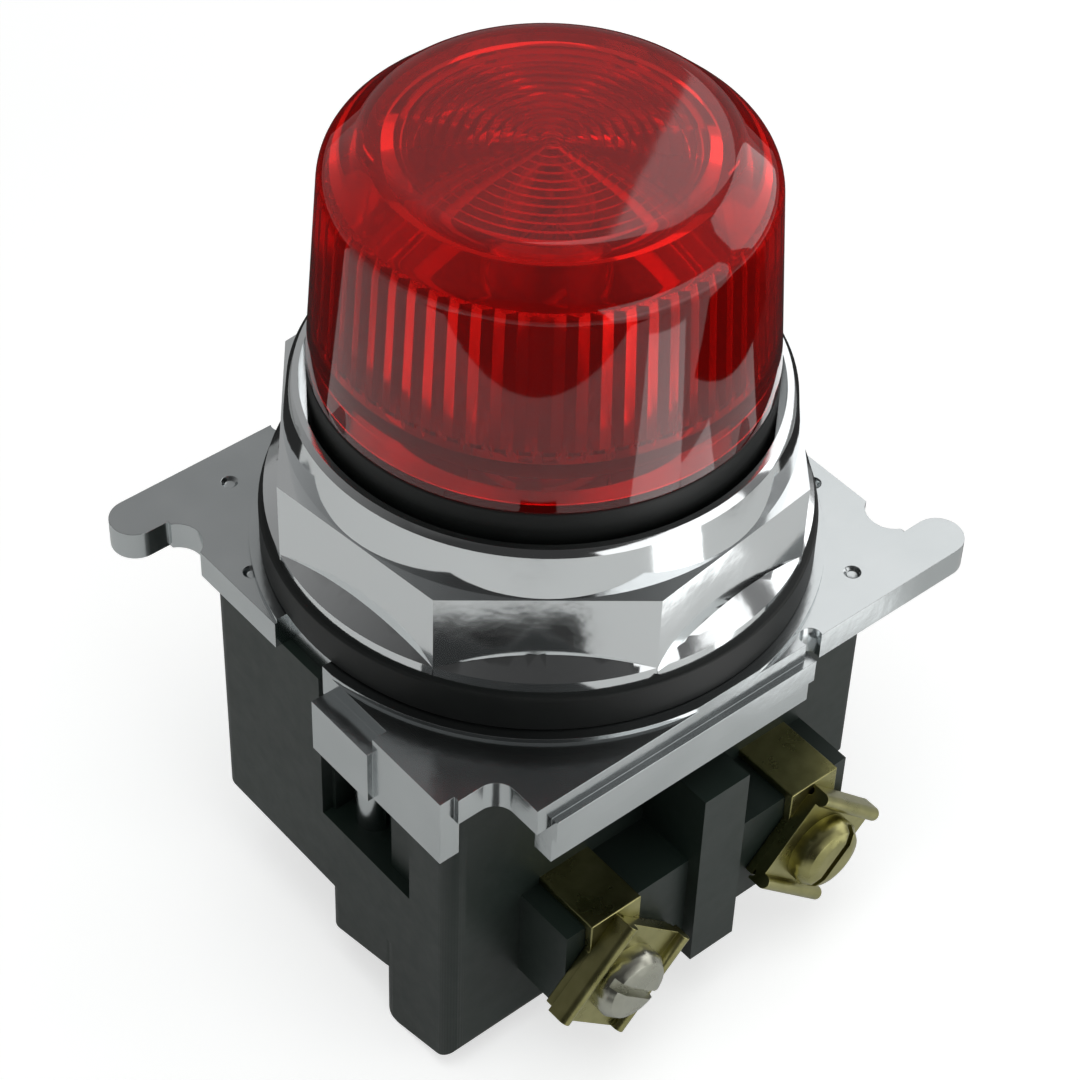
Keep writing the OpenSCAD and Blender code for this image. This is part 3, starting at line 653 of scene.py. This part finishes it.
AWAY = (0.66, 0.75, 0.0)      # level direction in which the camera looks
ACROSS = (0.75, -0.66, 0.0)   # level direction to its right
CENTRE = (0, 0, 0.01)
FLOOR_Z = LOWEST_Z - 0.0002
FLOOR_HALF = 1.5
WHITE = "#FFFFFF"
MOST_BOUNCES = 8

# name, place, aim, width, height, watts, seen in polished metal
LAMPS = (
    ("softbox_right", (0.375, -0.066, 0.134), CENTRE, 0.3, 0.24, 0.28, True),
    ("softbox_back", (0.233, 0.109, 0.306), CENTRE, 0.2, 0.2, 0.11, True),
    ("softbox_fill", (0.09, -0.33, 0.085), CENTRE, 0.4, 0.3, 0.42, True),
    ("softbox_top", (-0.08, -0.08, 0.42), CENTRE, 0.3, 0.3, 0.8, False),
    ("softbox_left", (-0.32, 0.02, 0.15), CENTRE, 0.25, 0.25, 0.22, False),
    ("front_card", (0.0105, -0.0574, -0.0165), (0, -0.0167, 0.02), 0.021, 0.031, 0.0026, True),
    ("floor_card", (0.034, -0.048, FLOOR_Z + 0.001), (0.03, -0.02, 0.05), 0.02, 0.02, 0.0013, True),
)

# name, azimuth in degrees, nearest and farthest edge, half width, lift off the floor, tone
DARK_CARDS = (
    ("card_back", 48.7, 0.03, 0.5, 0.3, 0.001, "#343434"),
    ("card_right", -35.0, 0.082, 0.3, 0.04, 0.002, "#1C1C1C"),
    ("card_nut", -131.3, 0.045, 0.0625, 0.0085, 0.002, "#1C1C1C"),
    ("card_front", -135.0, 0.097, 0.26, 0.12, 0.003, "#4A4A4A"),
)

CAMERA_AT = Vector((-0.110704, -0.126189, 0.161485))
CAMERA_LOOKS = Vector((0.47527, 0.54175, -0.69328))
CAMERA_ROLL_DEG = 2.16
CAMERA_LENS = 100.0
CAMERA_SENSOR = 36.0
CAMERA_SHIFT = (0.00115, -0.0449)


def stage_lamp(name, place, aim, size_x, size_y, power, glossy):
    """A soft rectangular lamp that looks at a point."""
    data = bpy.data.lights.new(name, "AREA")
    data.shape = "RECTANGLE"
    data.size, data.size_y = size_x, size_y
    data.energy = power
    lamp = bpy.data.objects.new(name, data)
    lamp.location = place
    lamp.rotation_mode = "QUATERNION"
    lamp.rotation_quaternion = (Vector(aim) - Vector(place)).to_track_quat("-Z", "Y")
    lamp.visible_camera = False
    lamp.visible_glossy = glossy
    bpy.context.scene.collection.objects.link(lamp)


def stage_sheet(name, corners, material):
    """A flat sheet of the stage."""
    mesh = bpy.data.meshes.new(name)
    mesh.from_pydata(corners, [], [(0, 1, 2, 3)])
    mesh.materials.append(material)
    sheet = bpy.data.objects.new(name, mesh)
    bpy.context.scene.collection.objects.link(sheet)
    return sheet


def dark_card(name, azimuth, near, far, half_width, lift, tone):
    """A dark card on the floor on one side of the object, seen only in its metal and in its lens."""
    turn = math.radians(azimuth)
    outward = Vector((math.cos(turn), math.sin(turn), 0))
    side = Vector((outward.y, -outward.x, 0)) * half_width
    up = Vector((0, 0, FLOOR_Z + lift))
    corners = [outward * near - side, outward * near + side, outward * far + side, outward * far - side]
    made, tree = new_material("dark felt")
    matt = add(tree, "ShaderNodeBsdfDiffuse", {"Color": linear(tone)})
    add(tree, "ShaderNodeOutputMaterial", {"Surface": matt.outputs[0]})
    card = stage_sheet(name, [c + up for c in corners], made)
    card.visible_camera = card.visible_diffuse = card.visible_shadow = False


def seen_level(tree, camera, glossy, transmission):
    """How much white a surface adds for what the camera, polished metal and glass see of it."""
    path = add(tree, "ShaderNodeLightPath")
    level = add(tree, "ShaderNodeMath", {
        0: path.outputs["Is Camera Ray"], 1: camera,
    }, operation="MULTIPLY")
    for name, share in (("Is Glossy Ray", glossy), ("Is Transmission Ray", transmission)):
        level = add(tree, "ShaderNodeMath", {0: path.outputs[name], 1: share, 2: level.outputs[0]},
                    operation="MULTIPLY_ADD")
    return level.outputs[0]


def sideways(tree, place, near, far, low, high):
    """A level that grows from low to high as a place moves to the left or right of the object."""
    across = add(tree, "ShaderNodeVectorMath", {0: place, 1: ACROSS}, operation="DOT_PRODUCT")
    size = add(tree, "ShaderNodeMath", {0: across.outputs["Value"]}, operation="ABSOLUTE")
    return add(tree, "ShaderNodeMapRange", {
        "Value": size.outputs[0], "From Min": near, "From Max": far, "To Min": low, "To Max": high,
    }).outputs["Result"]


def pale_floor():
    """White paper, lifted to plain white for the camera, and more so far off, where no lamp reaches."""
    made, tree = new_material("pale matt floor")
    # The glow is for the eye alone, so the floor isn't sampled as a lamp.
    made.cycles.emission_sampling = "NONE"
    paper = add(tree, "ShaderNodeBsdfDiffuse", {"Color": linear("#CFD1D0")})
    place = add(tree, "ShaderNodeTexCoord").outputs["Object"]
    reach = sideways(tree, place, 0.02, 0.14, 0.05, 0.5)
    distance = add(tree, "ShaderNodeVectorMath", {0: place}, operation="LENGTH")
    paper_white = add(tree, "ShaderNodeMapRange", {
        "Value": distance.outputs["Value"],
        "From Min": 0.12, "From Max": 0.7, "To Min": 0.6, "To Max": 1.0,
    })
    level = seen_level(tree, paper_white.outputs["Result"], 0.05, reach)
    glow = add(tree, "ShaderNodeEmission", {"Color": linear(WHITE), "Strength": level})
    both = add(tree, "ShaderNodeAddShader", {0: paper.outputs[0], 1: glow.outputs[0]})
    add(tree, "ShaderNodeOutputMaterial", {"Surface": both.outputs[0]})
    return made


def studio_world():
    """A white room that is darker on the camera's side, so that chrome shows an edge."""
    world = bpy.data.worlds.new("studio")
    world.use_nodes = True
    tree = world.node_tree
    tree.nodes.clear()
    direction = add(tree, "ShaderNodeTexCoord").outputs["Generated"]
    away = add(tree, "ShaderNodeVectorMath", {0: direction, 1: AWAY}, operation="DOT_PRODUCT")
    fall = add(tree, "ShaderNodeMapRange", {
        "Value": away.outputs["Value"], "From Min": -0.7, "From Max": 0.8, "To Min": 0.04, "To Max": 0.34,
    })
    room = add(tree, "ShaderNodeBackground", {"Color": linear(WHITE), "Strength": fall.outputs["Result"]})
    sides = sideways(tree, direction, 0.2, 0.8, 0.05, 1.1)
    level = seen_level(tree, 1.0, 0.0, sides)
    white = add(tree, "ShaderNodeBackground", {"Color": linear(WHITE), "Strength": level})
    both = add(tree, "ShaderNodeAddShader", {0: room.outputs[0], 1: white.outputs[0]})
    add(tree, "ShaderNodeOutputWorld", {"Surface": both.outputs[0]})
    return world


def stage_camera():
    """The camera, with its slight roll and the shift that the framing needs."""
    data = bpy.data.cameras.new("camera")
    data.lens = CAMERA_LENS
    data.sensor_width = CAMERA_SENSOR
    data.clip_start = 0.01
    data.shift_x, data.shift_y = CAMERA_SHIFT
    flat_right = CAMERA_LOOKS.cross(Vector((0, 0, 1))).normalized()
    flat_up = flat_right.cross(CAMERA_LOOKS)
    roll = math.radians(CAMERA_ROLL_DEG)
    right = flat_right * math.cos(roll) + flat_up * math.sin(roll)
    up = flat_up * math.cos(roll) - flat_right * math.sin(roll)
    camera = bpy.data.objects.new("camera", data)
    camera.rotation_mode = "QUATERNION"
    camera.rotation_quaternion = Matrix((right, up, -CAMERA_LOOKS)).transposed().to_quaternion()
    camera.location = CAMERA_AT
    bpy.context.scene.collection.objects.link(camera)
    return camera


class PILOT_OT_stage(bpy.types.Operator):
    """Lays the pale floor and sets up the lamps, the world and the camera"""
    bl_idname = "pilot.stage"
    bl_label = "Stage"

    def execute(self, context):
        scene = context.scene
        scene.view_settings.view_transform = "Standard"
        scene.cycles.max_bounces = MOST_BOUNCES
        # With so few lamps, an even pick among them is quicker than the light tree and looks the same.
        scene.cycles.use_light_tree = False
        h = FLOOR_HALF
        corners = [(-h, -h, FLOOR_Z), (h, -h, FLOOR_Z), (h, h, FLOOR_Z), (-h, h, FLOOR_Z)]
        stage_sheet("floor", corners, pale_floor())
        scene.world = studio_world()
        for lamp in LAMPS:
            stage_lamp(*lamp)
        for card in DARK_CARDS:
            dark_card(*card)
        scene.camera = stage_camera()
        return {"FINISHED"}


class PILOT_PT_pieces(bpy.types.Panel):
    """Shows the lens's sizes and a button for each step"""
    bl_idname = "PILOT_PT_pieces"
    bl_label = "Pilot light"
    bl_space_type = "VIEW_3D"
    bl_region_type = "UI"
    bl_category = "Pilot light"

    def draw(self, context):
        layout = self.layout
        for name in LensSizes.__annotations__:
            layout.prop(context.scene.pilot_lens, name)
        for step in STEPS:
            layout.operator(step.bl_idname)


STEPS = (
    PILOT_OT_lens, PILOT_OT_nut, PILOT_OT_base, PILOT_OT_lamp,
    PILOT_OT_light_unit, PILOT_OT_terminals, PILOT_OT_stage,
)
CLASSES = (LensSizes, *STEPS, PILOT_PT_pieces)


def register():
    for kind in CLASSES:
        bpy.utils.register_class(kind)
    bpy.types.Scene.pilot_lens = bpy.props.PointerProperty(type=LensSizes)


def unregister():
    del bpy.types.Scene.pilot_lens
    for kind in reversed(CLASSES):
        bpy.utils.unregister_class(kind)


def main():
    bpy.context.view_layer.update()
    register()
    for step in STEPS:
        group, call = step.bl_idname.split(".")
        getattr(getattr(bpy.ops, group), call)()


if __name__ == "__main__":
    main()
